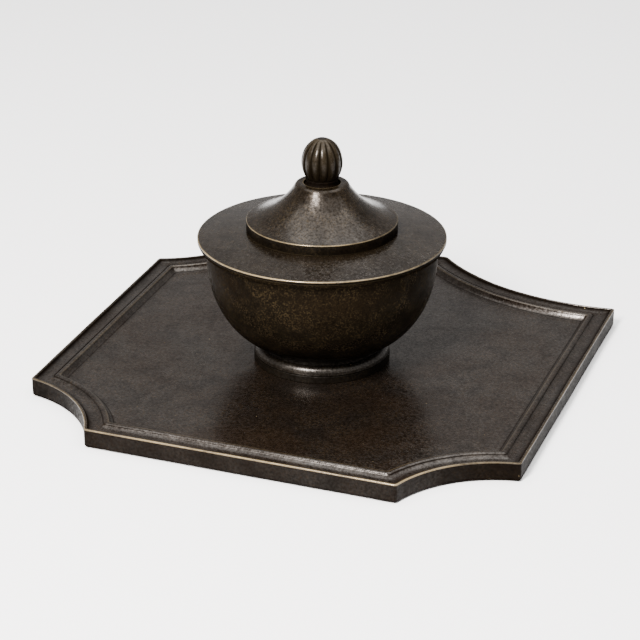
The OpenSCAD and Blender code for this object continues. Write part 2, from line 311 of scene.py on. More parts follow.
def felt_cloth(name, shift, dark, light):
    """Pressed wool felt: matted fibres with a soft sheen."""
    n = Nodes(name)
    mat = n.noise(900, shift, detail=6, rough=0.8, warp=2.0)
    tufts = n.noise(260, shift + 4, detail=4, rough=0.7)
    colour = n.mix(n.range(mat, 0.36, 0.66), dark, light)
    colour = n.mix(n.product(n.range(tufts, 0.55, 0.35), 0.5), colour, dark)
    n.link(colour, n.shader.inputs["Base Color"])
    n.link(n.range(tufts, 0.3, 0.7, 0.88, 1.0), n.shader.inputs["Roughness"])
    n.link(n.bump(mat, 0.00012, 1.0, n.bump(tufts, 0.0002, 0.7)), n.shader.inputs["Normal"])
    n.set(Sheen_Weight=0.6, Sheen_Roughness=0.5, Specular_IOR_Level=0.15)
    return n.material


def cork_sheet(name, shift, pale, brown):
    """Agglomerated cork: crumbs of two browns with dark seams between them."""
    n = Nodes(name)
    crumb = n.cells(620, shift, "Color")
    seam = n.range(n.cells(620, shift), 0.35, 0.62)
    tone = n.noise(300, shift + 6, detail=4)
    colour = n.mix(n.range(tone, 0.38, 0.62), pale, brown)
    colour = n.mix(0.22, colour, crumb, "SOFT_LIGHT")
    colour = n.mix(n.product(seam, 0.7), colour, scaled(brown, 0.3))
    n.link(colour, n.shader.inputs["Base Color"])
    n.link(n.range(tone, 0.3, 0.7, 0.75, 0.95), n.shader.inputs["Roughness"])
    n.link(n.bump(n.math("SUBTRACT", 1.0, seam), 0.00015, 0.8), n.shader.inputs["Normal"])
    n.set(Specular_IOR_Level=0.25)
    return n.material


def pressed_glass(name, shift):
    """Clear pressed glass with slow ripples and a trace of handling on its gloss."""
    n = Nodes(name)
    ripple = n.noise(60, shift, detail=2)
    smear = n.noise(110, shift + 8, detail=5, rough=0.7, warp=1.5)
    n.link(n.range(smear, 0.45, 0.75, 0.02, 0.10), n.shader.inputs["Roughness"])
    n.link(n.bump(ripple, 0.00025, 0.6), n.shader.inputs["Normal"])
    n.set(Base_Color=(0.93, 0.98, 0.95, 1), Transmission_Weight=1.0, IOR=1.5)
    return n.material


# ---------------------------------------------------------------- sections

def along(a, b, share):
    return tuple(p + (q - p) * share for p, q in zip(a, b))


def flat_distance(a, b):
    return math.hypot(b[0] - a[0], b[1] - a[1])


def corner(across, height, radius=0.0, wear_and_highlight=0.0, grime_and_shade=0.0):
    """A corner of a section. It is rounded where it has a radius."""
    return across, height, radius, wear_and_highlight, grime_and_shade


def value_at(value, t):
    return value(t) if callable(value) else value


BEND_STEPS = 4
EDGE_LINE_FADE = 0.3
EDGE_LINE_END = 0.45
CREVICE_SPREAD = 0.3


def softened(corners):
    """A closed section as points (across, height, pale line, darkening).
    The corners are (across, height, radius, pale line, darkening). Each one with a radius is rounded, and its
    pale line fades out a little way along both faces. The faces take their neighbours' darkening."""
    points = []
    for k, (across, height, radius, wear_and_highlight, grime_and_shade) in enumerate(corners):
        here = (across, height)
        if radius == 0:
            points.append((*here, wear_and_highlight, grime_and_shade))
            continue
        sides = []
        for other in (corners[k - 1], corners[(k + 1) % len(corners)]):
            length = flat_distance(here, other)
            cut = min(radius, length * 0.45)
            fade = min(cut + EDGE_LINE_FADE, length * 0.48)
            face_darkening = max(grime_and_shade * CREVICE_SPREAD, other[4])
            faded = (*along(here, other[:2], fade / length), 0.0, face_darkening)
            sides.append((along(here, other[:2], cut / length), faded))
        (start, before), (end, after) = sides
        points.append(before)
        for step in range(BEND_STEPS + 1):
            t = step / BEND_STEPS
            point = along(along(start, here, t), along(here, end, t), t)
            points.append((*point, wear_and_highlight * (EDGE_LINE_END + (1 - EDGE_LINE_END) * math.sin(math.pi * t)), grime_and_shade))
        points.append(after)
    return points


def divided(points, longest, closed=True):
    """The same section with no two points further apart than longest."""
    out = []
    for k, point in enumerate(points):
        out.append(point)
        if k == len(points) - 1 and not closed:
            break
        following = points[(k + 1) % len(points)]
        pieces = math.ceil(flat_distance(point, following) / longest)
        out += [along(point, following, step / pieces) for step in range(1, pieces)]
    return out


def curve(point_at, steps, wear_and_highlight=0.0, grime_and_shade=0.0, skip=(0, 0)):
    """Corners with no radius along a curve. skip says how many to leave out at its start and end.
    The pale line and the darkening are numbers, or functions of how far along the curve a corner is."""
    corners = []
    for k in range(skip[0], steps + 1 - skip[1]):
        t = k / steps
        corners.append(corner(*point_at(t), 0.0, value_at(wear_and_highlight, t), value_at(grime_and_shade, t)))
    return corners


# ---------------------------------------------------------------- meshes

CREASE = math.radians(38)
AXIS_R = 1e-6
WELL_AT = Vector((1.0, -9.0))
# Painted shade added to places, and most to edges, that face away from the light
AWAY_SHADE, EDGE_SHADE = 0.22, 2.6


def cast_surface(point, amount, size, shift):
    """How far a hand-finished surface stands off its true shape here, in millimetres."""
    place = Vector(point) / size + Vector((shift, shift * 1.7, shift * 0.4))
    return amount * (noise.noise(place) + 0.5 * noise.noise(place * 2.3))


def front_lit_values(wear_and_highlight, grime_and_shade, share):
    """The pale line and darkening of a place that faces the light only by that share: it keeps that share of
    its painted highlight and worn line, and gets more painted shade, most on its edges.
    """
    left = 1 - share
    return wear_and_highlight * share, min(1.0, grime_and_shade * (1 + AWAY_SHADE * left) + EDGE_SHADE * wear_and_highlight * left)


def spin(count):
    """The angles of that many points once round."""
    return [2 * math.pi * k / count for k in range(count)]


def at_angle(r, angle, z, centre=WELL_AT):
    return (centre.x + r * math.cos(angle), centre.y + r * math.sin(angle), z)


def make_piece(name, vertices, faces, material, values, uneven=(0.0, 20.0), shift=0.0):
    """A mesh object from millimetre points. values holds (pale line, darkening) for each point: the pale line
    is worn metal and painted highlight, the darkening is soiling and painted shade.
    """
    mesh = bpy.data.meshes.new(name)
    mesh.from_pydata([Vector(v) for v in vertices], [], faces)
    work = bmesh.new()
    work.from_mesh(mesh)
    bmesh.ops.recalc_face_normals(work, faces=work.faces)
    work.normal_update()
    amount, size = uneven
    for vertex in work.verts:
        vertex.co += vertex.normal * cast_surface(vertex.co, amount, size, shift)
    bmesh.ops.scale(work, vec=(MM, MM, MM), verts=work.verts)
    work.to_mesh(mesh)
    work.free()
    for k, label in enumerate(("wear_and_highlight", "grime_and_shade")):
        layer = mesh.attributes.new(label, "FLOAT", "POINT")
        layer.data.foreach_set("value", [value[k] for value in values])
    mesh.shade_smooth()
    mesh.set_sharp_from_angle(angle=CREASE)
    mesh.materials.append(material)
    piece = bpy.data.objects.new(name, mesh)
    bpy.context.scene.collection.objects.link(piece)
    return piece


def stand_for(piece, node):
    """piece shows in place of a CAD node: it rides on the same body, and the node is hidden."""
    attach(piece, BODY_OF[node])
    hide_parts(node)
    return piece


def loft(rings, closed):
    """(points, faces) through rings of equal count; a ring of one point is a pole."""
    points, starts = [], []
    for ring in rings:
        starts.append(len(points))
        points += ring
    faces = []
    pairs = len(rings) if closed else len(rings) - 1
    for j in range(pairs):
        a, b = j, (j + 1) % len(rings)
        count = max(len(rings[a]), len(rings[b]))
        for k in range(count):
            n = (k + 1) % count
            corners = []
            for which, step in ((a, k), (a, n), (b, n), (b, k)):
                index = starts[which] + (step if len(rings[which]) > 1 else 0)
                if index not in corners:
                    corners.append(index)
            if len(corners) > 2:
                faces.append(corners)
    return points, faces


# The bearing of the light at the front: turned edges keep their painted highlight there
LIGHT_FACING_AT = math.radians(-92)
LEAST_LIGHT_FACING = 0.22


def light_facing_share(angle):
    """How much of its pale line a turned edge keeps here: most at the front, which faces the light, so it is
    partly a painted highlight.
    """
    return LEAST_LIGHT_FACING + (1 - LEAST_LIGHT_FACING) * max(0.0, math.cos(angle - LIGHT_FACING_AT)) ** 2


def turned(name, section, segments, material, closed=True, longest=2.0, uneven=(0.03, 14.0), shift=0.0):
    """A piece turned about the well's axis."""
    rings, values = [], []
    for r, z, wear_and_highlight, grime_and_shade in divided(section, longest, closed):
        angles = spin(segments)[:1 if r < AXIS_R else segments]
        rings.append([at_angle(r, angle, z) for angle in angles])
        values += [front_lit_values(wear_and_highlight, grime_and_shade, light_facing_share(angle)) for angle in angles]
    points, faces = loft(rings, closed)
    return make_piece(name, points, faces, material, values, uneven, shift)


# ---------------------------------------------------------------- tray

TRAY_W, TRAY_D = 250.0, 258.0
LEFT, RIGHT, FRONT, BACK = -TRAY_W / 2, TRAY_W / 2, -TRAY_D / 2, TRAY_D / 2
SIDE_LEAN = 7.7
FEET_PROUD = 0.5
TRAY_TOP = 9.5
FLOOR_TOP = 6.3
FLOOR_UNDER = 3.3
MOULDING_W = 14.0
CORNER_STEPS = 26
SIDE_STEPS = 44
CORNER_BLUNT = 1.2
SCREW_BORE = 3.2

# Hollow corners counter-clockwise: start, end and radius
HOLLOWS = [
    (Vector((RIGHT - 45, FRONT)), Vector((RIGHT, FRONT + 38)), 56.0),
    (Vector((RIGHT, BACK - 38)), Vector((RIGHT - 102, BACK)), 112.0),
    (Vector((LEFT + 40, BACK)), Vector((LEFT, BACK - 57.5)), 61.0),
    (Vector((LEFT + SIDE_LEAN, FRONT + 39.5)), Vector((LEFT + SIDE_LEAN + 48, FRONT)), 64.0),
]


def turn_left(v):
    return Vector((-v.y, v.x))


def inward(p, q, d):
    return p + d * turn_left((q - p).normalized())


def arc_centre(a, b, r):
    return (a + b) / 2 - turn_left((b - a).normalized()) * math.sqrt(r * r - ((b - a).length / 2) ** 2)


def meet(p, u, c, r, near):
    """Where the line from p along u meets the circle about c, on the side nearest to a point."""
    reach = (c - p).dot(u)
    half = math.sqrt(r * r - (c - p - reach * u).length_squared)
    return min((p + (reach + sign * half) * u for sign in (-1, 1)), key=lambda q: (q - near).length)


def hollow_points(i, d):
    """One hollow corner of the outline that runs d inside the tray's edge."""
    before, this, after = HOLLOWS[i - 1], HOLLOWS[i], HOLLOWS[(i + 1) % 4]
    centre = arc_centre(*this)
    radius = this[2] + d
    start = meet(inward(before[1], this[0], d), (this[0] - before[1]).normalized(), centre, radius, this[0])
    end = meet(inward(this[1], after[0], d), (after[0] - this[1]).normalized(), centre, radius, this[1])
    first = start - centre
    sweep = first.angle(end - centre)
    angle = math.atan2(first.y, first.x)
    turns = [angle - sweep * k / CORNER_STEPS for k in range(CORNER_STEPS + 1)]
    return [centre + radius * Vector((math.cos(t), math.sin(t))) for t in turns]


def blunt(before, tip, after):
    """The points that round a corner off over CORNER_BLUNT millimetres each way."""
    start = tip + (before - tip).normalized() * CORNER_BLUNT
    end = tip + (after - tip).normalized() * CORNER_BLUNT
    return [start.lerp(tip, t).lerp(tip.lerp(end, t), t) for t in (0, 0.25, 0.5, 0.75, 1)]


def outline(d):
    points = []
    hollows = [hollow_points(i, d) for i in range(4)]
    for i, hollow in enumerate(hollows):
        start, end = hollow[-1], hollows[(i + 1) % 4][0]
        points += blunt(hollows[i - 1][-1], hollow[0], hollow[1])
        points += hollow[1:-1]
        points += blunt(hollow[-2], start, end)
        points += [start.lerp(end, k / SIDE_STEPS) for k in range(1, SIDE_STEPS)]
    return points


def eased(value, low, high):
    t = min(1.0, max(0.0, (value - low) / (high - low)))
    return t * t * (3 - 2 * t)


def tray_light_facing_share(p):
    """How much of its pale line the tray's edge keeps here: most along the front and its right corner, where
    it is partly a painted highlight.
    """
    return LEAST_LIGHT_FACING + (1 - LEAST_LIGHT_FACING) * eased(-p.y, 88, 122) * eased(p.x, -80, -50)


def hump(t, centre, width):
    return math.exp(-((t - centre) / width) ** 2)


def moulding():
    """The tray's section from its underside, over the rim and ridge, to the floor.
    Each point is (inset, height, pale line, darkening)."""
    bevel, rim, step, channel_w, channel_deep = 8.0, 1.3, 0.5, 6.9, 1.3
    ridge_gap, ridge_w, ridge_rise, ridge_top = 0.3, 2.6, 0.65, TRAY_TOP - 0.2
    ridge_at = rim + step + channel_w
    channel_z = TRAY_TOP - step
    cove_w = MOULDING_W - ridge_at - ridge_gap - ridge_w
    cove_h = ridge_top - ridge_rise - FLOOR_TOP
    side_shade, bottom_shade = 0.77, 0.85

    def channel(t):
        across = rim + step + channel_w * (1 - math.cos(math.pi * t)) / 2
        return (across, channel_z - channel_deep * math.sin(math.pi * t))

    def channel_shade(t):
        """Painted shade in the channel: most beside the rim, and some beside the ridge."""
        return 0.1 + 0.8 * max(0.0, 1 - 1.75 * t) + 2.5 * max(0.0, t - 0.8)

    def ridge(t):
        a = math.pi * (0.06 + 0.88 * t)
        across = ridge_at + ridge_gap + ridge_w / 2 * (1 - math.cos(a))
        return (across, ridge_top - ridge_rise * (1 - math.sin(a)))

    def cove(t):
        s = math.sin(math.pi / 2 * t)
        return (MOULDING_W - cove_w * (1 - s), FLOOR_TOP + cove_h * (1 - s) ** 2)

    # The rim's top edge has a pale line, worn metal and a painted highlight; the skirt, the bottom edge, the
    # step into the channel, the groove before the ridge and the cove are darkened: painted shade
    corners = [corner(bevel + FLOOR_UNDER - FEET_PROUD, FLOOR_UNDER, 0.6, grime_and_shade=0.3),
               corner(bevel, FEET_PROUD, 0.4, grime_and_shade=0.3),
               corner(0.0, FEET_PROUD, 1.0, grime_and_shade=bottom_shade),
               corner(0.0, FEET_PROUD + 3.5, grime_and_shade=side_shade),
               corner(0.0, TRAY_TOP - 1.3, grime_and_shade=side_shade),
               corner(0.0, TRAY_TOP, 0.7, wear_and_highlight=0.30),
               corner(rim, TRAY_TOP, 0.2, wear_and_highlight=0.06),
               corner(rim + 0.15, channel_z, 0.1, grime_and_shade=0.8)]
    corners += curve(channel, 14, grime_and_shade=channel_shade)
    corners += [corner(ridge_at + 0.1, ridge_top - 0.55, grime_and_shade=0.9)]
    corners += curve(ridge, 10, wear_and_highlight=lambda t: 0.10 * hump(t, 0.80, 0.16))
    corners += curve(cove, 9, grime_and_shade=lambda t: 0.72 * hump(t, 0.75, 0.32))
    return softened(corners)


def tray(material):
    section = moulding()
    rings = [[(p.x, p.y, z) for p in outline(d)] for d, z, _, _ in section]
    shares = [tray_light_facing_share(p) for p in outline(0)]
    values = [front_lit_values(wear_and_highlight, grime_and_shade, share) for _, _, wear_and_highlight, grime_and_shade in section for share in shares]

    def spokes(edge, z, steps, shade_at):
        """Flat rings from an edge of the moulding in to the screw's bore."""
        for step in steps:
            ring = []
            for x, y, _ in edge:
                start = Vector((x, y))
                end = WELL_AT + (start - WELL_AT).normalized() * SCREW_BORE
                ring.append((*start.lerp(end, step), z))
            rings.append(ring)
            values.extend([(0.0, shade_at(step))] * len(ring))

    floor_steps = [0.008, 0.02, 0.04] + [k / 26 for k in range(2, 27)]
    under_steps = [1 - k / 12 for k in range(12)]
    # The floor is darkened just inside the moulding: painted shade in the corner
    spokes(rings[-1], FLOOR_TOP, floor_steps, lambda step: 0.25 * max(0.0, 1 - step * 30))
    spokes(rings[0], FLOOR_UNDER, under_steps, lambda step: 0.0)
    points, faces = loft(rings, True)
    piece = make_piece("tray_cast", points, faces, material, values, uneven=(0.11, 34.0), shift=2.0)
    return stand_for(piece, "tray")


# ---------------------------------------------------------------- foot and bowl

FOOT_TOP = 19.4
COLLAR_Z = 68.3
LIP_Z = 66.7
BOWL_FLOOR = 23.4
LIP_SHADE = 0.55


def foot(material):
    bore, plinth_r, plinth_top, line_r = 27.0, 33.4, FLOOR_TOP + 3.54, 32.6
    round_z, round_r, upright, bend = plinth_top + 0.3, 33.2, 1.1, 3.1
    neck_r = round_r - bend
    bead_out, bead_half, bead_z = 0.9, 0.45, FOOT_TOP - 0.9

    def turn_in(t):
        a = math.pi / 2 * t
        return (neck_r + bend * math.cos(a), round_z + upright + bend * math.sin(a))

    def bead(t):
        a = math.pi * (t - 0.5)
        return (neck_r + bead_out * math.cos(a), bead_z + bead_half * math.sin(a))

    side_shade, neck_shade = 0.73, 0.8
    # The plinth's side, the groove above it, the top of the round and the neck under the bowl are darkened:
    # painted shade
    corners = [corner(bore, FLOOR_TOP, 0.2),
               corner(plinth_r, FLOOR_TOP, 0.15, grime_and_shade=0.85),
               corner(plinth_r, FLOOR_TOP + 1.2, grime_and_shade=side_shade),
               corner(plinth_r, plinth_top, 0.3, grime_and_shade=side_shade),
               corner(line_r, plinth_top, grime_and_shade=1.0),
               corner(line_r, round_z, grime_and_shade=1.0),
               corner(round_r, round_z, 0.15, grime_and_shade=0.5)]
    corners += curve(turn_in, 24, grime_and_shade=lambda t: 2.0 * max(0.0, t - 0.75))
    corners += [corner(neck_r, FOOT_TOP - 3.4, grime_and_shade=neck_shade),
                corner(neck_r, FOOT_TOP - 1.9, grime_and_shade=neck_shade)]
    corners += curve(bead, 12, wear_and_highlight=0.05)
    corners += [corner(neck_r, FOOT_TOP, grime_and_shade=neck_shade), corner(bore, FOOT_TOP, 0.2)]
    stand_for(turned("foot_turned", softened(corners), 192, material, longest=1.5, shift=4.0), "foot_ring")


def bowl(material):
    centre_r, belly_z, outer_r, drop, wall = 23.1, 59.8, 55.8, 43.9, 3.0
    lip_r, mouth_r, flare_out = 59.3, 52.8, 1.5
    socket_r, under_z, belly_low_z = 26.9, FOOT_TOP - 2, FOOT_TOP + 3
    under_in, under_bend = Vector((31.0, FOOT_TOP)), Vector((37.2, FOOT_TOP + 0.53))

    def belly(inset, low_z):
        """The quarter ellipse from the widest place down to low_z."""
        end = math.asin((belly_z - low_z) / (drop - inset))
        return lambda t: (centre_r + (outer_r - centre_r - inset) * math.cos(end * t),
                          belly_z - (drop - inset) * math.sin(end * t))

    outside, inside = belly(0, belly_low_z), belly(wall, BOWL_FLOOR)
    under_out = Vector(outside(1))

    def under(t):
        return tuple(under_in.lerp(under_bend, t).lerp(under_bend.lerp(under_out, t), t))

    def flare(t):
        a = math.pi / 2 * t
        return (outer_r + flare_out * (1 - math.cos(a)), LIP_Z - flare_out * (1 - math.sin(a)))

    def bowl_shade(t):
        """Painted shade on the outside, from the foot (0) to the lip (1): dark low down, and again under the
        lip.
        """
        return min(1.0, 0.8 * max(0.0, 1 - t / 0.40) + LIP_SHADE * max(0.0, (t - 0.62) / 0.38))

    # The underside, the low part of the side, the band under the lip and the lip's face are darkened: painted
    # shade; the lip's top edge has a faint pale line, worn metal and a painted highlight
    corners = [corner(SCREW_BORE, under_z, 0.3), corner(socket_r, under_z, 0.4), corner(socket_r, FOOT_TOP)]
    corners += curve(under, 8, grime_and_shade=0.85, skip=(0, 1))
    corners += curve(lambda t: outside(1 - t), 44, grime_and_shade=bowl_shade)
    corners += [corner(outer_r, LIP_Z - 3.5, grime_and_shade=LIP_SHADE)]
    corners += curve(flare, 5, grime_and_shade=0.7, skip=(1, 0))
    corners += [corner(lip_r, LIP_Z, 0.35, grime_and_shade=0.9),
                corner(lip_r, COLLAR_Z - 0.8, grime_and_shade=0.9),
                corner(lip_r, COLLAR_Z, 0.3, wear_and_highlight=0.10, grime_and_shade=0.8),
                corner(mouth_r, COLLAR_Z, 0.3)]
    corners += curve(inside, 40, grime_and_shade=0.15)
    corners += [corner(SCREW_BORE, BOWL_FLOOR, 0.3)]
    stand_for(turned("bowl_turned", softened(corners), 224, material, uneven=(0.06, 20.0), shift=6.0), "bowl")


# ---------------------------------------------------------------- collar and liner

SEAT_Z = 73.1
REBATE_Z = 67.5
REBATE_R = 31.4
MOUTH_R = 27.2


def spigot(name, node, material, inner, outer, low, high, segments, shift):
    """A plain ring under a collar or lid, that keeps it centred."""
    corners = [corner(inner, low, 0.5, wear_and_highlight=0.3), corner(outer, low, 0.5, wear_and_highlight=0.4),
               corner(outer, high, 0.2, grime_and_shade=0.4), corner(inner, high, 0.2, grime_and_shade=0.4)]
    stand_for(turned(name, softened(corners), segments, material, shift=shift), node)


def collar(material, inner_material):
    boss_r, boss_z, seat_r = 36.0, COLLAR_Z - 3, 37.6
    edge_r, edge_top = 60.0, COLLAR_Z + 1.7
    # The outer face of the plate is darkened, painted shade, and the pale line along its top edge is worn
    # metal and a painted highlight
    corners = [corner(MOUTH_R, boss_z, 0.4, wear_and_highlight=0.1),
               corner(boss_r, boss_z, 0.4),
               corner(boss_r, COLLAR_Z, 0.2, grime_and_shade=0.3),
               corner(edge_r, COLLAR_Z, 0.4, wear_and_highlight=0.02, grime_and_shade=0.9),
               corner(edge_r, COLLAR_Z + 0.7, grime_and_shade=0.9),
               corner(edge_r, edge_top, 0.4, wear_and_highlight=0.42),
               corner(seat_r, SEAT_Z, 0.5),
               corner(REBATE_R, SEAT_Z, 0.3, wear_and_highlight=0.4),
               corner(REBATE_R, REBATE_Z, 0.2, grime_and_shade=0.6),
               corner(MOUTH_R, REBATE_Z, 0.3, wear_and_highlight=0.3)]
    piece = turned("collar_turned", softened(corners), 224, material, uneven=(0.04, 18.0), shift=8.0)
    stand_for(piece, "collar")
    spigot("collar_spigot_ring", "collar_spigot", inner_material, inner=50.2, outer=52.4,
           low=COLLAR_Z - 6, high=COLLAR_Z, segments=192, shift=9.0)


def cork_ring(cork):
    inner, outer = 27.5, 31.1
    corners = [corner(inner, REBATE_Z, 0.15), corner(outer, REBATE_Z, 0.15),
               corner(outer, COLLAR_Z, 0.2), corner(inner, COLLAR_Z, 0.2)]
    ring = turned("cork_seat", softened(corners), 160, cork, longest=0.8, uneven=(0.03, 1.5))
    stand_for(ring, "liner_seat_ring")


def liner(glass):
    outer, inner, low, inner_low, bend, inner_bend = 26.6, 23.8, 32.0, 36.0, 6.0, 4.0
    flange_r, flange_top = 31.0, 70.5

    def rounded(r, z, radius):
        """The quarter turn from a floor at z out to a wall at r."""
        return lambda t: (r - radius * (1 - math.cos(math.pi / 2 * (1 - t))),
                          z + radius * (1 - math.sin(math.pi / 2 * (1 - t))))

    inner_turn = rounded(inner, inner_low, inner_bend)
    corners = [corner(0.0, low + 0.5), corner(12.0, low + 0.25), corner(17.0, low)]
    corners += curve(rounded(outer, low, bend), 10)
    corners += [corner(outer, COLLAR_Z, 0.5), corner(flange_r, COLLAR_Z, 0.6),
                corner(flange_r, flange_top, 0.8), corner(inner, flange_top, 0.8)]
    corners += curve(lambda t: inner_turn(1 - t), 10)
    corners += [corner(0.0, inner_low)]
    piece = turned("glass_cup", softened(corners), 160, glass, closed=False, uneven=(0.05, 16.0), shift=12.0)
    stand_for(piece, "glass_liner")


# ---------------------------------------------------------------- lid

LID_TOP = 96.8
WEB_UNDER = 92.6
NECK_Z = 95.6
STUD_BORE = 2.7


def bent(p, q, sag):
    """Arc from p to q that bends by sag to the left of the line between them."""
    p, q = Vector(p), Vector(q)
    half = (q - p).length / 2
    r = (half * half + sag * sag) / (2 * sag)
    centre = (p + q) / 2 - turn_left((q - p).normalized()) * (r - sag)
    first = p - centre
    start, sweep = math.atan2(first.y, first.x), 2 * math.asin(half / r)
    return lambda t: (centre.x + r * math.cos(start - sweep * t), centre.y + r * math.sin(start - sweep * t))


def lid(material, inner_material):
    edge_r, edge_top, seat_in_r, land_z = 36.4, SEAT_Z + 5.2, 33.9, SEAT_Z + 3
    top_r, recess_r, web_r, inner_r = 12.4, 8.9, 9.9, 27.5
    sag, inner_sag = 2.95, 1.77
    outside = bent((edge_r - 0.3, edge_top), (top_r, LID_TOP - 0.3), sag)
    inside = bent((inner_r, edge_top), (web_r, WEB_UNDER), inner_sag)
    # The upright band is darkened, a painted dark reflection of the collar below it; the pale line on its top
    # edge is worn metal and a painted highlight; the recess round the neck is darkened, painted shade
    corners = [corner(seat_in_r, SEAT_Z, 0.3),
               corner(edge_r, SEAT_Z, 0.3, wear_and_highlight=0.04, grime_and_shade=0.85),
               corner(edge_r, SEAT_Z + 1.5, grime_and_shade=0.85),
               corner(edge_r, edge_top - 0.9, grime_and_shade=0.75),
               corner(edge_r, edge_top, 0.26, wear_and_highlight=0.32)]
    corners += curve(outside, 34, skip=(2, 3))
    corners += [corner(top_r, LID_TOP, 2.2),
                corner(recess_r, LID_TOP, 0.25, wear_and_highlight=0.35),
                corner(recess_r, NECK_Z, 0.2, grime_and_shade=1.0),
                corner(STUD_BORE, NECK_Z, 0.2, grime_and_shade=0.8),
                corner(STUD_BORE, WEB_UNDER, 0.2)]
    corners += curve(lambda t: inside(1 - t), 28, grime_and_shade=0.1)
    corners += [corner(inner_r, land_z, 0.3), corner(seat_in_r, land_z, 0.2, grime_and_shade=0.4)]
    stand_for(turned("lid_turned", softened(corners), 208, material, uneven=(0.05, 13.0), shift=15.0), "lid")
    spigot("lid_spigot_ring", "lid_spigot", inner_material, inner=28.3, outer=30.9,
           low=71.0, high=land_z, segments=176, shift=17.0)


# ---------------------------------------------------------------- finial

BUD_BASE = 98.9
BUD_C = 106.95
BUD_R, BUD_HALF_H = 9.9, 11.85
LOBES = 14
FURROW = 0.6
STUD_R = 2.5


def bud(material):
    """The knob: an egg with a furrow between each pair of lobes, and a small smooth button on top."""
    around, rings_up = LOBES * 20, 56
    button_r, button_dirt = 2.4, 0.2
    low = math.asin((BUD_BASE - BUD_C) / BUD_HALF_H)
    high = math.acos(button_r / BUD_R)
    top = BUD_C + BUD_HALF_H * math.sin(high)
    rings, values = [[(*WELL_AT, BUD_BASE)]], [(0.0, 1.0)]
    for j in range(rings_up + 1):
        t = j / rings_up
        angle = low + (high - low) * t
        r, z = BUD_R * math.cos(angle), BUD_C + BUD_HALF_H * math.sin(angle)
        fade = min(1.0, (1 - t) * 5.5) * min(1.0, 0.35 + t * 6)
        lower_shade = 0.95 * max(0.0, 1 - t / 0.62)
        ring = []
        for turn in spin(around):
            dip = (1 - abs(math.sin(LOBES * turn / 2)) ** 0.7) * fade
            dip *= 1 + 0.35 * noise.noise(Vector((turn * 2.2, t * 3, 4.0)))
            ring.append(at_angle(r - FURROW * dip * (0.45 + 0.55 * r / BUD_R), turn, z))
            # Painted shade low on the bud, which faces the lid; the furrows are darker too, and a faint
            # painted highlight grows towards the top of the lobes
            values.append((0.02 * (1 - dip) * t, min(1.0, dip * 1.5 + lower_shade)))
        rings.append(ring)
    for r, rise in ((1.8, 0.036), (1.0, 0.060)):
        rings.append([at_angle(r, turn, top + rise) for turn in spin(around)])
        values += [(0.0, button_dirt)] * around
    rings.append([(*WELL_AT, top + 0.07)])
    values.append((0.0, button_dirt))
    points, faces = loft(rings, False)
    stand_for(make_piece("bud_lobed", points, faces, material, values, (0.03, 5.0), 19.0), "finial")


def neck(material):
    neck_r, waist, margin = 7.9, 0.5, 0.3

    def hollow(t):
        return (neck_r - waist * math.sin(math.pi * t),
                NECK_Z + margin + (BUD_BASE - NECK_Z - 2 * margin) * t)

    # Darkened all over: painted shade under the bud
    corners = [corner(STUD_BORE, NECK_Z, 0.2, grime_and_shade=0.5), corner(neck_r, NECK_Z, 0.2, grime_and_shade=0.9)]
    corners += curve(hollow, 8, grime_and_shade=0.8)
    corners += [corner(neck_r, BUD_BASE, 0.2, grime_and_shade=0.8), corner(STUD_BORE, BUD_BASE, 0.2, grime_and_shade=0.5)]
    piece = turned("neck_turned", softened(corners), 112, material, longest=0.8, uneven=(0.02, 5.0))
    stand_for(piece, "finial_neck")


# ---------------------------------------------------------------- fixings

def threaded(name, material, head, core_r, low, high, pitch, depth):
    """A turned shank with a helical thread near its ends; head is the section below it, from the axis out."""
    around, per_pitch, tip_bevel = 40, 6, 0.4
    circle = spin(around)
    rings = [[(*WELL_AT, head[0][1])]]
    rings += [[at_angle(r, a, z) for a in circle] for r, z in head[1:]]
    values = [(0.0, 0.0)] * (1 + around * len(head[1:]))
    steps = int((high - low) / pitch * per_pitch)
    for j in range(steps + 1):
        z = low + (high - low) * j / steps
        ring = []
        for a in circle:
            phase = (z / pitch - a / (2 * math.pi)) % 1.0
            dip = abs(phase * 2 - 1) * min(1.0, (high - z) / pitch + 0.2, (z - low) / pitch + 0.2)
            ring.append(at_angle(core_r - depth * dip, a, z))
            values.append((0.0, min(1.0, dip * 0.7)))
        rings.append(ring)
    rings.append([at_angle(core_r - depth - tip_bevel, a, high + 0.35) for a in circle])
    rings.append([(*WELL_AT, high + tip_bevel)])
    values += [(0.0, 0.0)] * (around + 1)
    points, faces = loft(rings, False)
    return make_piece(name, points, faces, material, values)


def cut_slot(piece, width, depth, half_length, z):
    """Cuts a screwdriver's slot up into the head of a screw."""
    bpy.context.view_layer.update()
    cutter_mesh = bpy.data.meshes.new("slot_cutter")
    work = bmesh.new()
    bmesh.ops.create_cube(work, size=1.0)
    bmesh.ops.scale(work, vec=(2 * half_length * MM, width * MM, 2 * depth * MM), verts=work.verts)
    bmesh.ops.translate(work, vec=(WELL_AT.x * MM, WELL_AT.y * MM, z * MM), verts=work.verts)
    work.to_mesh(cutter_mesh)
    work.free()
    cutter = bpy.data.objects.new("slot_cutter", cutter_mesh)
    bpy.context.scene.collection.objects.link(cutter)
    modifier = piece.modifiers.new("slot", "BOOLEAN")
    modifier.operation = "DIFFERENCE"
    modifier.solver = "EXACT"
    modifier.object = cutter
    bpy.context.view_layer.update()
    cut = bpy.data.meshes.new_from_object(piece.evaluated_get(bpy.context.evaluated_depsgraph_get()))
    piece.modifiers.clear()
    piece.data = cut
    bpy.data.objects.remove(cutter)
    cut.set_sharp_from_angle(angle=CREASE)
    return piece


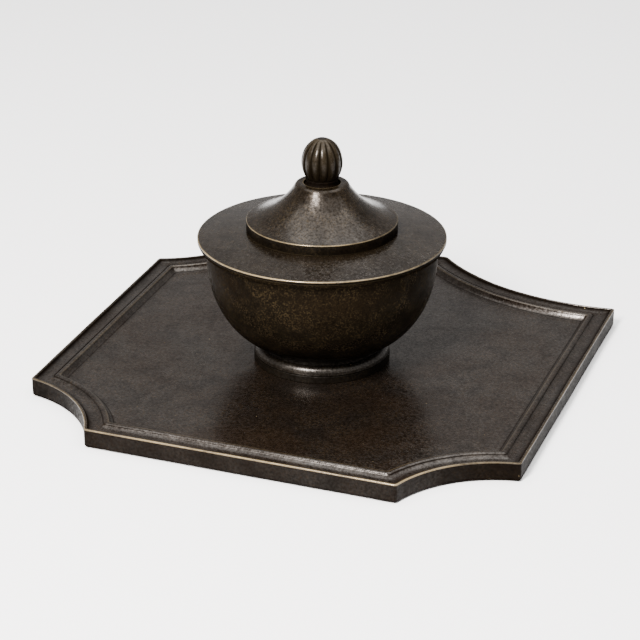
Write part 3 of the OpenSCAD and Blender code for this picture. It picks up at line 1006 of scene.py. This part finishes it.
def base_screw(material):
    head_z, head_r, shank_r, tip = 1.1, 7.0, 3.0, 31.0
    head = [(0.0, head_z), (5.4, head_z), (6.2, head_z + 0.08), (6.8, head_z + 0.35), (head_r, head_z + 0.8),
            (head_r, FLOOR_UNDER - 0.15), (head_r - 0.15, FLOOR_UNDER), (shank_r + 0.1, FLOOR_UNDER),
            (shank_r, FLOOR_UNDER + 0.15), (shank_r, 20.0)]
    piece = threaded("base_screw_slotted", material, head, shank_r, low=20.2, high=tip - 0.4,
                     pitch=1.0, depth=0.45)
    stand_for(cut_slot(piece, width=1.4, depth=1.0, half_length=head_r + 1, z=head_z), "base_screw")


def stud(material):
    low, high = 86.4, 107.9
    head = [(0.0, low), (1.7, low), (2.1, low + 0.25)]
    piece = threaded("stud_threaded", material, head, STUD_R, low=low + 0.3, high=high - 0.4,
                     pitch=0.8, depth=0.32)
    stand_for(piece, "finial_stud")


def washer(name, node, material, outer, inner, z, height):
    corners = [corner(inner, z, 0.12), corner(outer, z, 0.2),
               corner(outer, z + height, 0.3), corner(inner, z + height, 0.15)]
    piece = turned(name, softened(corners), 96, material, longest=1.2, uneven=(0.015, 4.0))
    stand_for(piece, node)


def hex_nut(name, node, material, bore, corner_r, z, height):
    """A six-sided nut whose corners are turned off at both ends."""
    lead_in, slope = 0.35, math.tan(math.radians(30))
    apothem = corner_r * math.cos(math.pi / 6)
    face_r = apothem * 0.96
    rings = [[] for _ in range(8)]
    for a in spin(96):
        flat = (a % (math.pi / 3)) - math.pi / 6
        side_r = apothem / math.cos(flat)
        cut = (side_r - face_r) * slope
        radii = [bore, bore + lead_in, face_r, side_r]
        heights = [z + lead_in, z, z, z + cut]
        radii += radii[::-1]
        heights += [z + height - cut, z + height, z + height, z + height - lead_in]
        for ring, r, level in zip(rings, radii, heights):
            ring.append(at_angle(r, a, level))
    points, faces = loft(rings, True)
    values = [(0.0, 0.0)] * len(points)
    stand_for(make_piece(name, points, faces, material, values), node)


def felt_feet(material):
    """Four felt pads glued under the tray, one piece with the CAD node's four discs."""
    inset, radius, around, fray, frayed_from = 24.0, 9.0, 72, 0.12, 8
    section = [(0.0, 0.0), (3.0, 0.0), (6.0, 0.0), (8.3, 0.02), (8.8, 0.18), (radius, 0.6), (radius, 1.6),
               (radius, 2.7), (8.85, FLOOR_UNDER), (5.0, FLOOR_UNDER), (0.0, FLOOR_UNDER)]
    points, faces = [], []
    for i in range(4):
        centre = hollow_points(i, inset)[CORNER_STEPS // 2]

        def frayed(r, a, z):
            if r > frayed_from:
                r += fray * noise.noise(Vector((5 * math.cos(a), 5 * math.sin(a), z + i * 9)))
            return min(r, radius)

        rings = [[at_angle(frayed(r, a, z), a, z, centre) for a in spin(1 if r < AXIS_R else around)]
                 for r, z in section]
        more, more_faces = loft(rings, False)
        faces += [[index + len(points) for index in face] for face in more_faces]
        points += more
    values = [(0.0, 0.0)] * len(points)
    pads = make_piece("felt_feet_pads", points, faces, material, values)
    stand_for(pads, "felt_feet")


# ---------------------------------------------------------------- the scene

def bronze_set():
    """The same bronze, as it has aged on each piece; the bowl's is lighter, partly its own golden patina and
    partly a painted glow.
    """
    deep = (0.0014, 0.0010, 0.0007)
    tray_tones = dict(deep=deep, brown=(0.0056, 0.0033, 0.0019), grey=(0.0038, 0.0027, 0.0020),
                      gold=(0.046, 0.028, 0.013))
    well_tones = dict(deep=deep, brown=(0.0047, 0.0031, 0.0016), grey=(0.0031, 0.0023, 0.0014),
                      gold=(0.060, 0.042, 0.020))
    # The bowl's tones are the well's made 2.3 times lighter: a golden patina, and a painted glow of light
    # thrown up from the tray
    bowl_tones_and_glow = {tone: scaled(colour, 2.3) for tone, colour in well_tones.items()}
    return {
        "tray": patina("tray_patina", 1.3, tray_tones, rough=0.22, glint=0.12,
                       fleck=0.22, pits=1.0, spec=0.46),
        "bowl": patina("bowl_patina", 7.9, bowl_tones_and_glow, rough=0.42, glint=0.08,
                       fleck=0.25, pits=0.3, spec=0.10, metal=0.60, tint=(0.24, 0.20, 0.15)),
        "foot": patina("foot_patina", 9.4, well_tones, rough=0.32, glint=0.10,
                       fleck=0.18, pits=0.3, spec=0.54),
        "well": patina("well_patina", 11.2, well_tones, rough=0.19, glint=0.12,
                       fleck=0.20, pits=0.3, spec=0.52, relief=0.45),
        "lid": patina("lid_patina", 15.1, well_tones, rough=0.22, glint=0.12,
                      fleck=0.32, pits=0.2, spec=0.25, relief=0.8, tint=(1.0, 0.88, 0.77)),
        "bud": patina("bud_patina", 22.7, well_tones, rough=0.20, glint=0.10,
                      fleck=0.10, pits=0.1, spec=0.22, relief=0.7),
        "inner": patina("inner_patina", 31.4, tray_tones, rough=0.45, glint=0.12,
                        fleck=0.2, pits=0.6, spec=0.20),
    }


def build():
    bronze = bronze_set()
    fixing = brass("fixing_brass", 3.1, (0.52, 0.38, 0.17), 0.30)
    felt = felt_cloth("green_felt", 5.3, (0.018, 0.030, 0.014), (0.045, 0.070, 0.034))
    cork = cork_sheet("cork", 6.2, (0.42, 0.27, 0.14), (0.24, 0.14, 0.07))
    tray(bronze["tray"])
    felt_feet(felt)
    foot(bronze["foot"])
    bowl(bronze["bowl"])
    collar(bronze["well"], bronze["inner"])
    cork_ring(cork)
    liner(pressed_glass("liner_glass", 2.2))
    lid(bronze["lid"], bronze["inner"])
    bud(bronze["bud"])
    neck(bronze["inner"])
    base_screw(fixing)
    washer("base_washer_turned", "base_washer", fixing, outer=9.0, inner=SCREW_BORE,
           z=BOWL_FLOOR, height=1.2)
    hex_nut("base_nut_hex", "base_nut", fixing, bore=3.0, corner_r=5.52, z=BOWL_FLOOR + 1.2, height=5.0)
    stud(fixing)
    washer("finial_washer_turned", "finial_washer", fixing, outer=7.0, inner=STUD_BORE,
           z=WEB_UNDER - 0.8, height=0.8)
    hex_nut("finial_nut_hex", "finial_nut", fixing, bore=STUD_R, corner_r=4.6, z=WEB_UNDER - 4.8, height=4.0)


add_camera()
build()
add_floor()
add_world(colour=(1.0, 0.965, 0.95), strength=0.48)
add_softbox("key", azimuth=-8, elevation=43, distance=1.5,
            size=(0.26, 0.62), power=95, colour=(1.0, 0.96, 0.94))
add_softbox("overhead", azimuth=60, elevation=86, distance=2.4,
            size=(4.0, 4.0), power=195, colour=(1.0, 1.0, 1.0))
